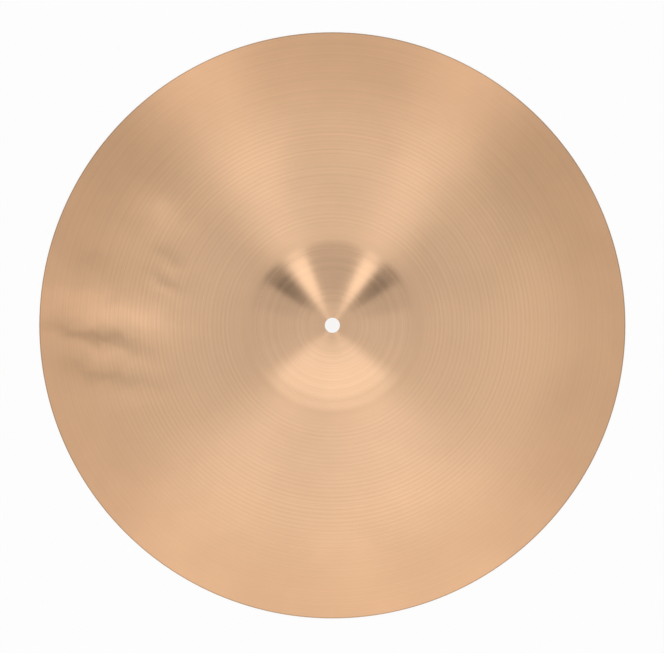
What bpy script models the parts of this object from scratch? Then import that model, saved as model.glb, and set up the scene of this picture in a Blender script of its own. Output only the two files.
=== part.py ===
"""A ride cymbal: one thin bronze disc, with a raised bell round its mounting hole, an arched bow and a rounded rim.

The whole piece is a turned shape about +Z. The origin is on that axis, in the plane that the rim rests on.
Lengths are in metres.
"""

import math

import bmesh
import bpy
from mathutils import Vector

# Driving dimensions
DIAMETER = 0.508
HOLE_DIAMETER = 0.0127
SEAT_WIDTH = 0.0042  # flat ring round the hole, above and below, where the felts press
BELL_DIAMETER = 0.139  # where the bell's curve and the bow's would meet without their fillet
BELL_HEIGHT = 0.018  # of the seat above that meeting line
FILLET_RADIUS = 0.018  # between the bell and the bow, on top
BOW_RADIUS = 1.160  # of the bow's arch, on top
BELL_THICKNESS = 0.0017
RIM_THICKNESS = 0.0010
RIM_WEAR = 0.00006  # rubbed off the rim's lowest line, which leaves a narrow flat
HOLE_CHAMFER = 0.0003

# Facets
TURN_STEPS = 96
CROWN_STEPS = 7
FILLET_STEPS = 5
BOW_STEPS = 9
RIM_STEPS = 5

# Finish
BRONZE_COLOR = (0.72, 0.47, 0.27, 1.0)
BRONZE_ROUGHNESS = 0.32
SMOOTH_UNDER = math.radians(30.0)  # sharper edges than this stay sharp

# Places that follow from the dimensions. A point is (distance from the axis, height).
HOLE_RADIUS = HOLE_DIAMETER / 2
SEAT_RADIUS = HOLE_RADIUS + SEAT_WIDTH
BELL_RADIUS = BELL_DIAMETER / 2
RIM_ROUND = RIM_THICKNESS / 2
RIM_CENTRE = Vector((DIAMETER / 2 - RIM_ROUND, RIM_ROUND - RIM_WEAR))


def clear_scene():
    for obj in list(bpy.data.objects):
        bpy.data.objects.remove(obj, do_unlink=True)


def bow_centre():
    """Centre of the bow's arch: on the axis, and so low that the rim's rounding touches the arch."""
    reach = BOW_RADIUS - RIM_ROUND
    return Vector((0.0, RIM_CENTRE.y - math.sqrt(reach**2 - RIM_CENTRE.x**2)))


def foot_height():
    """Height of the line where the bell would meet the bow."""
    return bow_centre().y + math.sqrt(BOW_RADIUS**2 - BELL_RADIUS**2)


def crown_arc():
    """(centre, radius) of the bell's arc, which leaves the seat level and reaches the bell's foot."""
    run = BELL_RADIUS - SEAT_RADIUS
    radius = (run**2 + BELL_HEIGHT**2) / (2 * BELL_HEIGHT)
    return Vector((SEAT_RADIUS, foot_height() + BELL_HEIGHT - radius)), radius


def outer_crossing(centre_a, radius_a, centre_b, radius_b):
    """The crossing of two circles that lies furthest from the axis."""
    between = centre_b - centre_a
    along = (radius_a**2 - radius_b**2 + between.length_squared) / (2 * between.length)
    aside = math.sqrt(radius_a**2 - along**2)
    direction = between.normalized()
    middle = centre_a + along * direction
    square = Vector((-direction.y, direction.x))
    return max((middle + aside * square, middle - aside * square), key=lambda point: point.x)


def angle_of(vector):
    return math.atan2(vector.y, vector.x)


def arc(centre, radius, start, end, steps):
    """Points of an arc from one angle to another, both ends included."""
    points = []
    for step in range(steps + 1):
        angle = start + (end - start) * step / steps
        points.append(centre + radius * Vector((math.cos(angle), math.sin(angle))))
    return points


def top_line():
    """(point, outward normal) pairs along the top, from the seat out to the rim."""
    crown, crown_radius = crown_arc()
    bow = bow_centre()
    fillet = outer_crossing(crown, crown_radius + FILLET_RADIUS, bow, BOW_RADIUS + FILLET_RADIUS)
    straight_up = math.pi / 2
    crown_end = angle_of(fillet - crown)
    bow_start = angle_of(fillet - bow)
    bow_end = angle_of(RIM_CENTRE - bow)
    line = [(point, (point - crown) / crown_radius)
            for point in arc(crown, crown_radius, straight_up, crown_end, CROWN_STEPS)]
    line += [(point, (fillet - point) / FILLET_RADIUS)
             for point in arc(fillet, FILLET_RADIUS, crown_end - math.pi, bow_start - math.pi, FILLET_STEPS)[1:]]
    line += [(point, (point - bow) / BOW_RADIUS)
             for point in arc(bow, BOW_RADIUS, bow_start, bow_end, BOW_STEPS)[1:]]
    return line


def thickness_at(radius):
    """Full thickness over the bell, then an even taper to the rim."""
    share = (radius - BELL_RADIUS) / (RIM_CENTRE.x - BELL_RADIUS)
    return BELL_THICKNESS + (RIM_THICKNESS - BELL_THICKNESS) * min(max(share, 0.0), 1.0)


def cut_flat(outline):
    """The outline without what lies under the resting plane."""
    kept = []
    for point, following in zip(outline, outline[1:] + outline[:1]):
        if point.y >= 0.0:
            kept.append(point)
        if (point.y < 0.0) != (following.y < 0.0):
            share = point.y / (point.y - following.y)
            crossing = point.lerp(following, share)
            kept.append(Vector((crossing.x, 0.0)))
    return kept


def profile():
    """The closed section: out over the top, down round the rim, back along the underside and up the hole."""
    line = top_line()
    top = [point for point, _ in line]
    under = [point - thickness_at(point.x) * normal for point, normal in line]
    down = angle_of(line[-1][1])
    rim = arc(RIM_CENTRE, RIM_ROUND, down, down - math.pi, RIM_STEPS)[1:-1]
    seat_top = top[0].y
    seat_under = under[0].y
    chamfered = HOLE_RADIUS + HOLE_CHAMFER
    hole = [
        Vector((chamfered, seat_under)),
        Vector((HOLE_RADIUS, seat_under + HOLE_CHAMFER)),
        Vector((HOLE_RADIUS, seat_top - HOLE_CHAMFER)),
        Vector((chamfered, seat_top)),
    ]
    return cut_flat(top + rim + under[::-1] + hole)


def bronze():
    material = bpy.data.materials.new("bronze")
    material.use_nodes = True
    shader = material.node_tree.nodes["Principled BSDF"]
    shader.inputs["Base Color"].default_value = BRONZE_COLOR
    shader.inputs["Metallic"].default_value = 1.0
    shader.inputs["Roughness"].default_value = BRONZE_ROUGHNESS
    return material


def turned(name, section, material):
    """An object whose mesh is the closed section, turned once about +Z."""
    shape = bmesh.new()
    corners = [shape.verts.new((point.x, 0.0, point.y)) for point in section]
    edges = [shape.edges.new(ends) for ends in zip(corners, corners[1:] + corners[:1])]
    bmesh.ops.spin(
        shape,
        geom=corners + edges,
        axis=(0.0, 0.0, 1.0),
        cent=(0.0, 0.0, 0.0),
        angle=math.tau,
        steps=TURN_STEPS,
        use_merge=True,
    )
    bmesh.ops.recalc_face_normals(shape, faces=shape.faces)
    mesh = bpy.data.meshes.new(name)
    shape.to_mesh(mesh)
    shape.free()
    mesh.shade_smooth()
    mesh.set_sharp_from_angle(angle=SMOOTH_UNDER)
    mesh.materials.append(material)
    obj = bpy.data.objects.new(name, mesh)
    bpy.context.scene.collection.objects.link(obj)
    return obj


def main():
    clear_scene()
    turned("cymbal", profile(), bronze())


main()
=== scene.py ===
import math

import bpy
import numpy as np
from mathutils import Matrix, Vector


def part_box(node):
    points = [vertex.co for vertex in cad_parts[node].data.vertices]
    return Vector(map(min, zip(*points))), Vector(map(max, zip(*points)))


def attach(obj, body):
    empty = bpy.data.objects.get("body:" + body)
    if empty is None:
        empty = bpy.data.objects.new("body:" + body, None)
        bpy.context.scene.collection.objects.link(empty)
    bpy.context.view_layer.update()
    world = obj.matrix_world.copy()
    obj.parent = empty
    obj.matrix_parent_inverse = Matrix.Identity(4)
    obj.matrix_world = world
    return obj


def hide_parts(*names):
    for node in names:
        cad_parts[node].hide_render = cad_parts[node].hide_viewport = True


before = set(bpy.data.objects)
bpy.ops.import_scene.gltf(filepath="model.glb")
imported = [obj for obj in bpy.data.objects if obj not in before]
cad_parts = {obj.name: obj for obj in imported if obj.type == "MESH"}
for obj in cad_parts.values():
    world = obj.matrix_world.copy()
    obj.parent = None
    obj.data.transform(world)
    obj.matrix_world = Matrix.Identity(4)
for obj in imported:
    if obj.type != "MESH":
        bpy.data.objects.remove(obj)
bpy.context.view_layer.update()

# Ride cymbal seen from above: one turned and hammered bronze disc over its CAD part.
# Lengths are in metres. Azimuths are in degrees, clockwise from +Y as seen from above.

# The section, as the CAD part has it. The disc's own radius comes from the frame.
HOLE_RADIUS = 0.00635
SEAT_RADIUS = 0.01055
BELL_RADIUS = 0.0695
BELL_HEIGHT = 0.018
FILLET_RADIUS = 0.018
BOW_RADIUS = 1.160
BELL_THICKNESS = 0.0017
RIM_THICKNESS = 0.0010
RIM_WEAR = 0.00006
HOLE_CHAMFER = 0.0003

# The mesh's resolution, and the angle in degrees above which an edge stays sharp.
SIDES = 216
TOP_ROWS = 350
UNDER_ROWS = 60
RIM_ROWS = 8
SHARP_ANGLE = 38.0

# The lathe's wide spiral groove. It starts and ends over these radii, is weaker past the inner
# bow, wanders a little, and cuts deeper in one ring.
GROOVE_PITCH = 0.0037
GROOVE_DEPTH = 0.00007
GROOVE_START = (0.072, 0.084)
GROOVE_FADE = (0.175, 0.215)
GROOVE_FADE_SHARE = 0.75
GROOVE_END = (0.246, 0.252)
GROOVE_SWAY = 0.0006
GROOVE_EVEN_SHARE = 0.78
BOLD_RING_RADIUS = 0.1015
BOLD_RING_WIDTH = 0.0040
BOLD_RING_SHARE = 0.55
UNDER_SHARE = 0.6

# The finer groove on the bell.
BELL_GROOVE_PITCH = 0.00205
BELL_GROOVE_DEPTH = 0.000004
BELL_GROOVE_START = (0.011, 0.016)
BELL_GROOVE_END = (0.060, 0.072)

TOP_SEED = 11
UNDER_SEED = 23

# Each dent of the hammer: azimuth and radius of its middle, half length along the radius, half
# width across it, and depth. They fade out at the bell's foot and at the rim.
DENTS = [
    (268, 0.185, 0.050, 0.0110, 0.00055),
    (261, 0.205, 0.034, 0.0080, 0.00030),
    (276, 0.128, 0.016, 0.0080, 0.00022),
    (283, 0.150, 0.018, 0.0075, 0.00022),
    (290, 0.135, 0.014, 0.0070, 0.00018),
    (302, 0.182, 0.018, 0.0150, 0.00035),
    (255, 0.150, 0.022, 0.0080, 0.00020),
    (249, 0.185, 0.020, 0.0090, 0.00018),
    (240, 0.120, 0.022, 0.0120, 0.00010),
    (221, 0.165, 0.024, 0.0140, 0.00004),
    (196, 0.200, 0.020, 0.0150, 0.00003),
    (165, 0.150, 0.024, 0.0150, 0.00003),
    (128, 0.190, 0.024, 0.0150, 0.00004),
    (97, 0.135, 0.022, 0.0140, 0.00004),
    (84, 0.195, 0.026, 0.0130, 0.00005),
    (61, 0.160, 0.022, 0.0140, 0.00003),
    (22, 0.185, 0.020, 0.0150, 0.00003),
    (331, 0.205, 0.022, 0.0150, 0.00004),
]
DENTS_START = (0.078, 0.092)
DENTS_END = (0.243, 0.252)

# Each patch of painted highlight or painted shade laid over the hammer's dents: azimuth and radius
# of its middle, its lean off the radius in degrees, half length, half width, and how much lighter or
# darker the paint makes the metal.
PAINTED_HAMMER_LIGHT = [
    (273, 0.188, 12, 0.058, 0.0140, 0.22),
    (276, 0.168, 8, 0.022, 0.0110, 0.08),
    (267, 0.204, 18, 0.036, 0.0062, -0.24),
    (263, 0.196, 22, 0.042, 0.0080, 0.14),
    (258, 0.202, 24, 0.042, 0.0060, -0.12),
    (303, 0.172, -3, 0.030, 0.0150, 0.15),
    (285, 0.212, 6, 0.026, 0.0120, -0.08),
    (281, 0.148, 11, 0.014, 0.0042, 0.09),
    (285, 0.147, 11, 0.018, 0.0040, -0.12),
    (289, 0.148, 11, 0.014, 0.0042, 0.07),
    (293, 0.150, 11, 0.016, 0.0045, -0.09),
    (249, 0.175, 14, 0.030, 0.0090, 0.05),
]
PAINTED_HAMMER_LIGHT_BEND = 0.022

# The bronze's colour at shares of the way from the axis to COLOR_REACH.
COLOR_REACH = 0.254
BRONZE_COLORS = [
    (0.0, (0.62, 0.40, 0.25)),
    (0.45, (0.635, 0.41, 0.256)),
    (0.80, (0.655, 0.415, 0.250)),
    (1.0, (0.655, 0.40, 0.235)),
]

# How the metal's lightness changes: from and to which radius or share of the noise, then from
# and to which value. The bow's are added up, and the rest multiply the colour.
BOW_LIFT = (0.066, 0.080, 0.0, 0.10)
OUTER_BOW_DROP = (0.150, 0.225, 0.0, -0.07)
# Painted shade and painted highlight in rings at the lathe groove's pitch: how strong they are by
# radius.
GROOVE_PAINTED_SHADE = (0.077, 0.090, 0.0, 0.034)
GROOVE_PAINTED_SHADE_FADE = (0.165, 0.215, 0.0, -0.026)
# Painted shade along the outermost rim edge.
RIM_EDGE_PAINTED_SHADE = (0.2526, 0.2536, 1.0, 0.66)
BROAD_RING_TONE = (0.25, 0.75, 0.98, 1.03)
FINE_RING_TONE = (0.25, 0.75, 0.96, 1.05)
BLOTCH_TONE = (0.3, 0.7, 0.96, 1.05)

# The roughness of bell and bow by radius, how the rings vary it, and how far the metal's
# highlights stretch across the rings.
ROUGHNESS = (0.060, 0.077, 0.235, 0.43)
BROAD_RING_ROUGHNESS = (0.2, 0.8, 0.95, 1.05)
STRETCH = 0.92
QUARTER_TURN = 0.25

# The noises' features per metre, and the turned lines' relief.
FINE_RINGS = 1500.0
BROAD_RINGS = 260.0
BLOTCHES = 9.0
BENDS = 38.0
LINE_RELIEF = 0.00003
BROAD_RELIEF_SHARE = 0.7

# Each panel of the sky: azimuth of its middle, half width and softness of its sides, polar
# angles from and to, all in degrees, then how much brighter or darker than plain white it is.
PANELS = [
    (31.0, 6.5, 3.0, 10.0, 66.0, 0.85),
    (331.5, 7.5, 3.0, 10.0, 66.0, 0.85),
    (181.0, 50.0, 8.0, 6.0, 68.0, 0.52),
    (48.0, 8.0, 3.5, 18.0, 68.0, -0.66),
    (311.5, 8.0, 3.5, 18.0, 68.0, -0.70),
    (1.0, 19.0, 5.0, 12.0, 68.0, -0.22),
    (66.0, 12.0, 5.0, 18.0, 68.0, -0.18),
    (295.0, 12.0, 5.0, 18.0, 68.0, -0.18),
    (268.0, 16.0, 6.0, 18.0, 68.0, -0.06),
    (0.0, 200.0, 5.0, -20.0, 9.0, -0.10),
]
PANEL_END_SOFTNESS = 4.0
DARKEST_SKY = 0.05
BACKGROUND = 0.98

FLOOR_REACH = 6.0
FLOOR_GAP = 0.0002
FLOOR_GLOW = 0.895
FLOOR_PAPER = 0.08
FLOOR_PLAIN = 0.8

CAMERA_PLACE = (-0.0003, -0.0010, 1.5)
CAMERA_LENS = 93.8
CAMERA_SENSOR = 36.0
CAMERA_CLIP_END = 50.0


def direction(degrees):
    """The unit vector at this azimuth."""
    turn = math.radians(degrees)
    return math.sin(turn), math.cos(turn)


def outer_crossing(centre_a, radius_a, centre_b, radius_b):
    """The outer of the two crossings of two circles in the section's plane."""
    dx = centre_b[0] - centre_a[0]
    dy = centre_b[1] - centre_a[1]
    gap = math.hypot(dx, dy)
    along = (gap * gap + radius_a * radius_a - radius_b * radius_b) / (2.0 * gap)
    across = math.sqrt(radius_a * radius_a - along * along)
    foot = (centre_a[0] + along * dx / gap, centre_a[1] + along * dy / gap)
    one = (foot[0] + across * dy / gap, foot[1] - across * dx / gap)
    two = (foot[0] - across * dy / gap, foot[1] + across * dx / gap)
    return max(one, two)


class Section:
    """The cymbal's section: seat, crown arc, fillet, bow arc and rounded rim."""

    def __init__(self, outer_radius):
        self.rim_round = RIM_THICKNESS / 2.0
        self.rim = (outer_radius - self.rim_round, self.rim_round - RIM_WEAR)
        drop = math.sqrt((BOW_RADIUS - self.rim_round) ** 2 - self.rim[0] ** 2)
        self.bow = (0.0, self.rim[1] - drop)
        foot = self.bow[1] + math.sqrt(BOW_RADIUS ** 2 - BELL_RADIUS ** 2)
        run = BELL_RADIUS - SEAT_RADIUS
        self.top = foot + BELL_HEIGHT
        self.crown_radius = (run ** 2 + BELL_HEIGHT ** 2) / (2.0 * BELL_HEIGHT)
        self.crown = (SEAT_RADIUS, self.top - self.crown_radius)
        self.fillet = outer_crossing(
            self.crown, self.crown_radius + FILLET_RADIUS, self.bow, BOW_RADIUS + FILLET_RADIUS
        )
        self.crown_end = self.touch_radius(self.crown, self.crown_radius)
        self.bow_start = self.touch_radius(self.bow, BOW_RADIUS)
        reach = math.hypot(self.rim[0] - self.bow[0], self.rim[1] - self.bow[1])
        self.bow_end = BOW_RADIUS * (self.rim[0] - self.bow[0]) / reach

    def touch_radius(self, centre, size):
        """Distance from the axis of the point where the fillet touches this circle."""
        dx = self.fillet[0] - centre[0]
        dy = self.fillet[1] - centre[1]
        return centre[0] + dx * size / math.hypot(dx, dy)

    def surface(self, radius):
        """Height of the top at this radius, and its outward normal in the section's plane."""
        if radius <= SEAT_RADIUS:
            return self.top, (0.0, 1.0)
        if radius <= self.crown_end:
            centre, size, sign = self.crown, self.crown_radius, 1.0
        elif radius <= self.bow_start:
            centre, size, sign = self.fillet, FILLET_RADIUS, -1.0
        else:
            centre, size, sign = self.bow, BOW_RADIUS, 1.0
        run = radius - centre[0]
        rise = math.sqrt(size * size - run * run)
        return centre[1] + sign * rise, (sign * run / size, rise / size)

    def thickness(self, radius):
        """The metal's thickness, which tapers from the bell's foot to the rim."""
        share = (radius - BELL_RADIUS) / (self.rim[0] - BELL_RADIUS)
        share = min(max(share, 0.0), 1.0)
        return BELL_THICKNESS + (RIM_THICKNESS - BELL_THICKNESS) * share


def smooth_step(value, low, high):
    """0 below low and 1 above high, with a smooth change between them."""
    share = np.clip((value - low) / (high - low), 0.0, 1.0)
    return share * share * (3.0 - 2.0 * share)


def wander(values, seed, count, lowest, highest):
    """A smooth random curve, about -1 to 1: a sum of waves with this range of rates."""
    draw = np.random.default_rng(seed)
    total = np.zeros_like(values)
    for _ in range(count):
        rate = draw.uniform(lowest, highest)
        phase = draw.uniform(0.0, 2.0 * math.pi)
        total += np.sin(values * rate + phase)
    return total / math.sqrt(count)


def spiral(radius, angle, pitch, handed):
    """0 on a spiral groove's edges and 1 at its bottom."""
    phase = radius / pitch - handed * angle / (2.0 * math.pi)
    return 0.5 - 0.5 * np.cos(2.0 * math.pi * phase)


def groove_depth(radius, angle, seed, handed):
    """How deep the lathe's grooves cut at each place."""
    sway = GROOVE_SWAY * wander(radius, seed, 5, 150.0, 420.0)
    wide = spiral(radius + sway, angle, GROOVE_PITCH, handed)
    strength = smooth_step(radius, *GROOVE_START)
    strength *= 1.0 - GROOVE_FADE_SHARE * smooth_step(radius, *GROOVE_FADE)
    strength += BOLD_RING_SHARE * np.exp(-((radius - BOLD_RING_RADIUS) / BOLD_RING_WIDTH) ** 2)
    strength *= 1.0 - smooth_step(radius, *GROOVE_END)
    uneven = wander(radius, seed + 1, 6, 60.0, 260.0)
    strength *= GROOVE_EVEN_SHARE + (1.0 - GROOVE_EVEN_SHARE) * uneven
    on_bell = smooth_step(radius, *BELL_GROOVE_START) * (1.0 - smooth_step(radius, *BELL_GROOVE_END))
    fine = spiral(radius, angle, BELL_GROOVE_PITCH, handed)
    return GROOVE_DEPTH * np.maximum(strength, 0.0) * wide + BELL_GROOVE_DEPTH * on_bell * fine


def dent_depth(radius, angle):
    """How deep the hammer's dents are at each place."""
    x = radius * np.sin(angle)
    y = radius * np.cos(angle)
    total = np.zeros_like(radius)
    for azimuth, distance, half_length, half_width, depth in DENTS:
        out = direction(azimuth)
        along = x * out[0] + y * out[1] - distance
        across = x * out[1] - y * out[0]
        total += depth * np.exp(-(along / half_length) ** 2 - (across / half_width) ** 2)
    return total * smooth_step(radius, *DENTS_START) * (1.0 - smooth_step(radius, *DENTS_END))


def top_rows(section):
    """Rows from the hole's upper edge to the end of the bow."""
    rows = []
    for radius in (HOLE_RADIUS + HOLE_CHAMFER, 0.5 * (HOLE_RADIUS + SEAT_RADIUS)):
        rows.append(("seat", radius, section.top, (0.0, 1.0)))
    for radius in np.linspace(SEAT_RADIUS, section.bow_end, TOP_ROWS):
        height, normal = section.surface(radius)
        rows.append(("top", radius, height, normal))
    return rows


def rim_rows(section):
    """Rows round the half-round rim, worn flat along its lowest line."""
    rows = []
    start = math.atan2(section.rim[1] - section.bow[1], section.rim[0] - section.bow[0])
    for step in range(1, RIM_ROWS):
        turn = start - math.pi * step / RIM_ROWS
        normal = (math.cos(turn), math.sin(turn))
        radius = section.rim[0] + section.rim_round * normal[0]
        height = section.rim[1] + section.rim_round * normal[1]
        rows.append(("rim", radius, max(height, 0.0), normal))
    return rows


def under_rows(section):
    """Rows of the underside, at the metal's thickness under the top."""
    rows = []
    for radius in np.linspace(section.rim[0], SEAT_RADIUS, UNDER_ROWS):
        height, normal = section.surface(radius)
        thick = section.thickness(radius)
        low = max(height - thick * normal[1], 0.0)
        rows.append(("under", radius - thick * normal[0], low, (-normal[0], -normal[1])))
    return rows


def hole_rows(section):
    """Rows of the chamfered hole, from its lower edge up."""
    low = section.top - BELL_THICKNESS
    return [
        ("seat", HOLE_RADIUS + HOLE_CHAMFER, low, (0.0, -1.0)),
        ("hole", HOLE_RADIUS, low + HOLE_CHAMFER, (-1.0, 0.0)),
        ("hole", HOLE_RADIUS, section.top - HOLE_CHAMFER, (-1.0, 0.0)),
    ]


def cymbal_mesh(section):
    """A closed mesh, round and round through every row of the section."""
    angles = np.linspace(0.0, 2.0 * math.pi, SIDES, endpoint=False)
    rows = top_rows(section) + rim_rows(section) + under_rows(section) + hole_rows(section)
    points = []
    for part, radius, height, normal in rows:
        ring = np.full(SIDES, radius)
        cut = np.zeros(SIDES)
        if part == "top":
            cut = groove_depth(ring, angles, TOP_SEED, 1.0) + dent_depth(ring, angles)
        if part == "under":
            cut = UNDER_SHARE * groove_depth(ring, angles, UNDER_SEED, -1.0)
        ring = ring - cut * normal[0]
        heights = height - cut * normal[1]
        points.append(np.stack([ring * np.sin(angles), ring * np.cos(angles), heights], 1))
    faces = []
    for row in range(len(rows)):
        here = row * SIDES
        there = ((row + 1) % len(rows)) * SIDES
        for side in range(SIDES):
            beside = (side + 1) % SIDES
            faces.append((here + beside, there + beside, there + side, here + side))
    mesh = bpy.data.meshes.new("cymbal_body")
    mesh.from_pydata(np.concatenate(points).tolist(), [], faces)
    mesh.update()
    return mesh


class Graph:
    """A node tree, with short calls for the nodes that this script uses."""

    def __init__(self, tree):
        self.nodes = tree.nodes
        self.links = tree.links
        self.nodes.clear()

    def node(self, kind, **settings):
        node = self.nodes.new(kind)
        for name, value in settings.items():
            setattr(node, name, value)
        return node

    def feed(self, socket, source):
        """Links the source to the socket, or writes it there if it is a plain value."""
        if isinstance(source, bpy.types.NodeSocket):
            self.links.new(source, socket)
        else:
            socket.default_value = source

    def shader(self, kind, **inputs):
        """The output of a node with these inputs, whose names have _ for a space."""
        node = self.node(kind)
        for name, source in inputs.items():
            self.feed(node.inputs[name.replace("_", " ")], source)
        return node.outputs[0]

    def calculate(self, operation, *sources):
        node = self.node("ShaderNodeMath", operation=operation)
        for socket, source in zip(node.inputs, sources):
            self.feed(socket, source)
        return node.outputs[0]

    def product(self, first, *others):
        for other in others:
            first = self.calculate("MULTIPLY", first, other)
        return first

    def smooth(self, source, low, high, to_low, to_high):
        """Goes smoothly from to_low to to_high while the source goes from low to high."""
        node = self.node("ShaderNodeMapRange", interpolation_type="SMOOTHSTEP")
        self.feed(node.inputs["Value"], source)
        self.feed(node.inputs["From Min"], low)
        self.feed(node.inputs["From Max"], high)
        self.feed(node.inputs["To Min"], to_low)
        self.feed(node.inputs["To Max"], to_high)
        return node.outputs["Result"]

    def combine(self, operation, first, second):
        """A node of vector maths on two vectors."""
        node = self.node("ShaderNodeVectorMath", operation=operation)
        self.feed(node.inputs[0], first)
        self.feed(node.inputs[1], second)
        return node

    def scale(self, vector, factor):
        node = self.node("ShaderNodeVectorMath", operation="SCALE")
        self.feed(node.inputs[0], vector)
        self.feed(node.inputs["Scale"], factor)
        return node.outputs["Vector"]

    def split(self, vector):
        node = self.node("ShaderNodeSeparateXYZ")
        self.feed(node.inputs["Vector"], vector)
        return node.outputs

    def noise(self, place, scale, detail, roughness=0.5):
        node = self.node("ShaderNodeTexNoise")
        self.feed(node.inputs["Vector"], place)
        self.feed(node.inputs["Scale"], scale)
        self.feed(node.inputs["Detail"], detail)
        self.feed(node.inputs["Roughness"], roughness)
        return node.outputs

    def ring_noise(self, radius, scale, detail):
        """Noise that changes along the radius only, which draws rings."""
        node = self.node("ShaderNodeTexNoise", noise_dimensions="1D")
        self.feed(node.inputs["W"], radius)
        self.feed(node.inputs["Scale"], scale)
        self.feed(node.inputs["Detail"], detail)
        return node.outputs["Fac"]

    def mix(self, share, first, second):
        node = self.node("ShaderNodeMixShader")
        self.feed(node.inputs["Fac"], share)
        self.feed(node.inputs[1], first)
        self.feed(node.inputs[2], second)
        return node.outputs["Shader"]

    def finish(self, kind, surface):
        self.feed(self.node(kind).inputs["Surface"], surface)


def new_material(name):
    material = bpy.data.materials.new(name)
    material.use_nodes = True
    return material, Graph(material.node_tree)


def patch_share(graph, place, azimuth, distance, lean, half_length, half_width):
    """1 in the middle of a soft oval patch, falling to 0 round it."""
    middle = direction(azimuth)
    along = direction(azimuth + lean)
    across = (along[1], -along[0])
    squares = []
    for axis, size in ((along, half_length), (across, half_width)):
        offset = distance * (middle[0] * axis[0] + middle[1] * axis[1])
        reach = graph.combine("DOT_PRODUCT", place, (axis[0], axis[1], 0.0)).outputs["Value"]
        share = graph.calculate("MULTIPLY_ADD", reach, 1.0 / size, -offset / size)
        squares.append(graph.product(share, share))
    total = graph.calculate("ADD", *squares)
    return graph.calculate("EXPONENT", graph.product(total, -1.0))


def painted_hammer_light(graph, place):
    """Painted highlights and painted shade over the hammer's dents, about 1. Noise bends their
    outlines.
    """
    noise = graph.noise(place, BENDS, 3.0)["Color"]
    centred = graph.combine("SUBTRACT", noise, (0.5, 0.5, 0.5)).outputs["Vector"]
    bend = graph.scale(centred, PAINTED_HAMMER_LIGHT_BEND)
    bent_place = graph.combine("ADD", place, bend).outputs["Vector"]
    tone = 1.0
    for *patch, change in PAINTED_HAMMER_LIGHT:
        tone = graph.calculate("MULTIPLY_ADD", patch_share(graph, bent_place, *patch), change, tone)
    return tone


def bow_tone(graph, radius):
    """How light the bow is, about 1: lighter inside, with painted shade and painted highlight in
    rings at the grooves' pitch.
    """
    lift = graph.smooth(radius, *BOW_LIFT)
    drop = graph.smooth(radius, *OUTER_BOW_DROP)
    change = graph.calculate("ADD", lift, drop)
    wave = graph.calculate("SINE", graph.product(radius, 2.0 * math.pi / GROOVE_PITCH))
    start = graph.smooth(radius, *GROOVE_PAINTED_SHADE)
    fade = graph.smooth(radius, *GROOVE_PAINTED_SHADE_FADE)
    painted_groove_shade = graph.calculate("ADD", start, fade)
    # painted shade and painted highlight in rings at the grooves' pitch
    change = graph.calculate("MULTIPLY_ADD", wave, painted_groove_shade, change)
    return graph.calculate("ADD", change, 1.0)


def bronze_color(graph, place, radius, fine, broad):
    """Pinker inside and more orange outside, with rings, soft blotches and painted shade along the
    rim edge.
    """
    ramp_node = graph.node("ShaderNodeValToRGB")
    elements = ramp_node.color_ramp.elements
    while len(elements) < len(BRONZE_COLORS):
        elements.new(0.5)
    for element, (share, color) in zip(elements, BRONZE_COLORS):
        element.position = share
        element.color = (*color, 1.0)
    graph.feed(ramp_node.inputs["Fac"], graph.smooth(radius, 0.0, COLOR_REACH, 0.0, 1.0))
    blotch = graph.noise(place, BLOTCHES, 4.0, 0.55)["Fac"]
    tone = graph.product(
        graph.smooth(broad, *BROAD_RING_TONE),
        graph.smooth(fine, *FINE_RING_TONE),
        graph.smooth(blotch, *BLOTCH_TONE),
        # painted highlights and painted shade over the hammer's dents
        painted_hammer_light(graph, place),
        # painted shade along the rim edge
        graph.smooth(radius, *RIM_EDGE_PAINTED_SHADE),
        bow_tone(graph, radius),
    )
    return graph.scale(ramp_node.outputs["Color"], tone)


def bronze_roughness(graph, radius, broad):
    """The bell is smoother than the bow."""
    by_radius = graph.smooth(radius, *ROUGHNESS)
    return graph.product(graph.smooth(broad, *BROAD_RING_ROUGHNESS), by_radius)


def bronze_material():
    """Turned bell bronze: a satin metal whose highlights stretch across the lathe's rings."""
    material, graph = new_material("bronze_turned")
    place = graph.node("ShaderNodeTexCoord").outputs["Object"]
    from_axis = graph.combine("MULTIPLY", place, (1.0, 1.0, 0.0)).outputs["Vector"]
    length = graph.node("ShaderNodeVectorMath", operation="LENGTH")
    graph.feed(length.inputs[0], from_axis)
    radius = length.outputs["Value"]
    fine = graph.ring_noise(radius, FINE_RINGS, 2.0)
    broad = graph.ring_noise(radius, BROAD_RINGS, 3.0)
    tangent = graph.node("ShaderNodeTangent", direction_type="RADIAL", axis="Z")
    bump = graph.shader(
        "ShaderNodeBump",
        Strength=1.0,
        Distance=LINE_RELIEF,
        Height=graph.calculate("MULTIPLY_ADD", broad, BROAD_RELIEF_SHARE, fine),
    )
    surface = graph.shader(
        "ShaderNodeBsdfPrincipled",
        Base_Color=bronze_color(graph, place, radius, fine, broad),
        Metallic=1.0,
        Roughness=bronze_roughness(graph, radius, broad),
        Anisotropic=STRETCH,
        Anisotropic_Rotation=QUARTER_TURN,
        Tangent=tangent.outputs["Tangent"],
        Normal=bump,
    )
    graph.finish("ShaderNodeOutputMaterial", surface)
    return material


def add_cymbal():
    """The one piece of the visual model."""
    low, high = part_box("cymbal")
    outer_radius = min(-low.x, -low.y, high.x, high.y)
    mesh = cymbal_mesh(Section(outer_radius))
    mesh.materials.append(bronze_material())
    mesh.shade_smooth()
    mesh.set_sharp_from_angle(angle=math.radians(SHARP_ANGLE))
    body = bpy.data.objects.new("cymbal_body", mesh)
    bpy.context.scene.collection.objects.link(body)
    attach(body, "root")
    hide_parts("cymbal")


def grey(level):
    return level, level, level, 1.0


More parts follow.
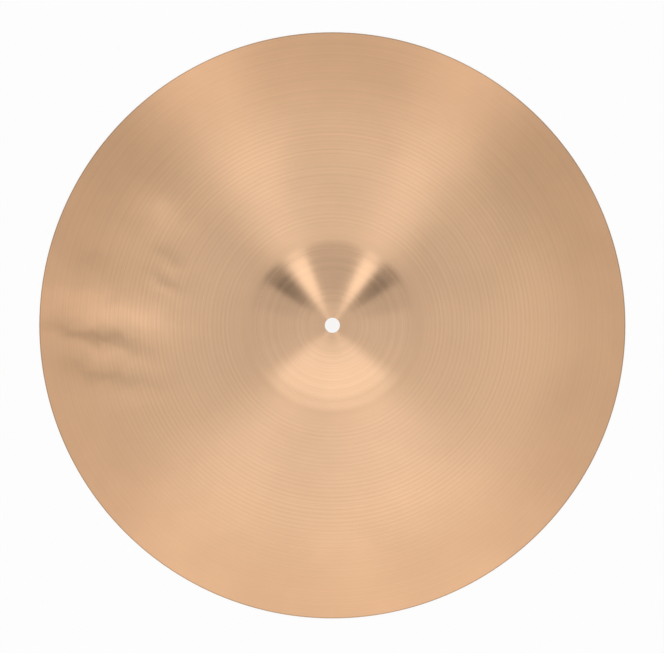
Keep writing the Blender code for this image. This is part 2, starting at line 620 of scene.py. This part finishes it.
def floor_material():
    """Nearly white to the camera and to the metal, plain to other light, and open from below."""
    material, graph = new_material("paper_floor")
    rays = graph.node("ShaderNodeLightPath").outputs
    seen = graph.calculate("MAXIMUM", rays["Is Camera Ray"], rays["Is Glossy Ray"])
    seen = graph.calculate("MAXIMUM", seen, rays["Is Transmission Ray"])
    pale = graph.node("ShaderNodeAddShader")
    graph.feed(pale.inputs[0], graph.shader("ShaderNodeBsdfDiffuse", Color=grey(FLOOR_PAPER)))
    graph.feed(pale.inputs[1], graph.shader("ShaderNodeEmission", Color=grey(FLOOR_GLOW)))
    plain = graph.shader("ShaderNodeBsdfDiffuse", Color=grey(FLOOR_PLAIN))
    upper_side = graph.mix(seen, plain, pale.outputs["Shader"])
    lower_side = graph.shader("ShaderNodeBsdfTransparent")
    backfacing = graph.node("ShaderNodeNewGeometry").outputs["Backfacing"]
    graph.finish("ShaderNodeOutputMaterial", graph.mix(backfacing, upper_side, lower_side))
    return material


def add_floor():
    """A sheet just under the rim."""
    mesh = bpy.data.meshes.new("floor")
    corners = []
    for x, y in ((-1, -1), (1, -1), (1, 1), (-1, 1)):
        corners.append((x * FLOOR_REACH, y * FLOOR_REACH, -FLOOR_GAP))
    mesh.from_pydata(corners, [], [(0, 1, 2, 3)])
    mesh.materials.append(floor_material())
    floor = bpy.data.objects.new("floor", mesh)
    bpy.context.scene.collection.objects.link(floor)


def panel_share(graph, axes, azimuth, half_width, softness, low, high):
    """1 inside a soft-edged panel of the sky and 0 outside it."""
    out = direction(azimuth)
    ahead = graph.product(axes["X"], out[0])
    ahead = graph.calculate("MULTIPLY_ADD", axes["Y"], out[1], ahead)
    beside = graph.product(axes["X"], out[1])
    beside = graph.calculate("MULTIPLY_ADD", axes["Y"], -out[0], beside)
    off = graph.calculate("ABSOLUTE", graph.calculate("ARCTAN2", beside, ahead))
    polar = graph.calculate("ARCCOSINE", axes["Z"])
    shares = []
    for angle, middle, soft, start, end in (
        (off, half_width, softness, 1.0, 0.0),
        (polar, low, PANEL_END_SOFTNESS, 0.0, 1.0),
        (polar, high, PANEL_END_SOFTNESS, 1.0, 0.0),
    ):
        edges = math.radians(middle - soft), math.radians(middle + soft)
        shares.append(graph.smooth(angle, *edges, start, end))
    return graph.product(*shares)


def add_world():
    """A white studio: plain to the camera, with lighter and darker panels for the metal."""
    world = bpy.data.worlds.new("studio")
    bpy.context.scene.world = world
    world.use_nodes = True
    graph = Graph(world.node_tree)
    axes = graph.split(graph.node("ShaderNodeTexCoord").outputs["Generated"])
    level = 1.0
    for *panel, change in PANELS:
        share = panel_share(graph, axes, *panel)
        level = graph.calculate("MULTIPLY_ADD", share, change, level)
    level = graph.calculate("MAXIMUM", level, DARKEST_SKY)
    studio = graph.shader("ShaderNodeBackground", Color=grey(1.0), Strength=level)
    plain = graph.shader("ShaderNodeBackground", Color=grey(BACKGROUND), Strength=1.0)
    to_camera = graph.node("ShaderNodeLightPath").outputs["Is Camera Ray"]
    graph.finish("ShaderNodeOutputWorld", graph.mix(to_camera, studio, plain))


def add_camera():
    """Straight above the cymbal, looking down with +Y up in the picture."""
    data = bpy.data.cameras.new("camera")
    data.lens = CAMERA_LENS
    data.sensor_width = CAMERA_SENSOR
    data.clip_end = CAMERA_CLIP_END
    camera = bpy.data.objects.new("camera", data)
    camera.location = CAMERA_PLACE
    bpy.context.scene.collection.objects.link(camera)
    bpy.context.scene.camera = camera


add_cymbal()
add_floor()
add_world()
add_camera()
bpy.context.scene.view_settings.view_transform = "Standard"
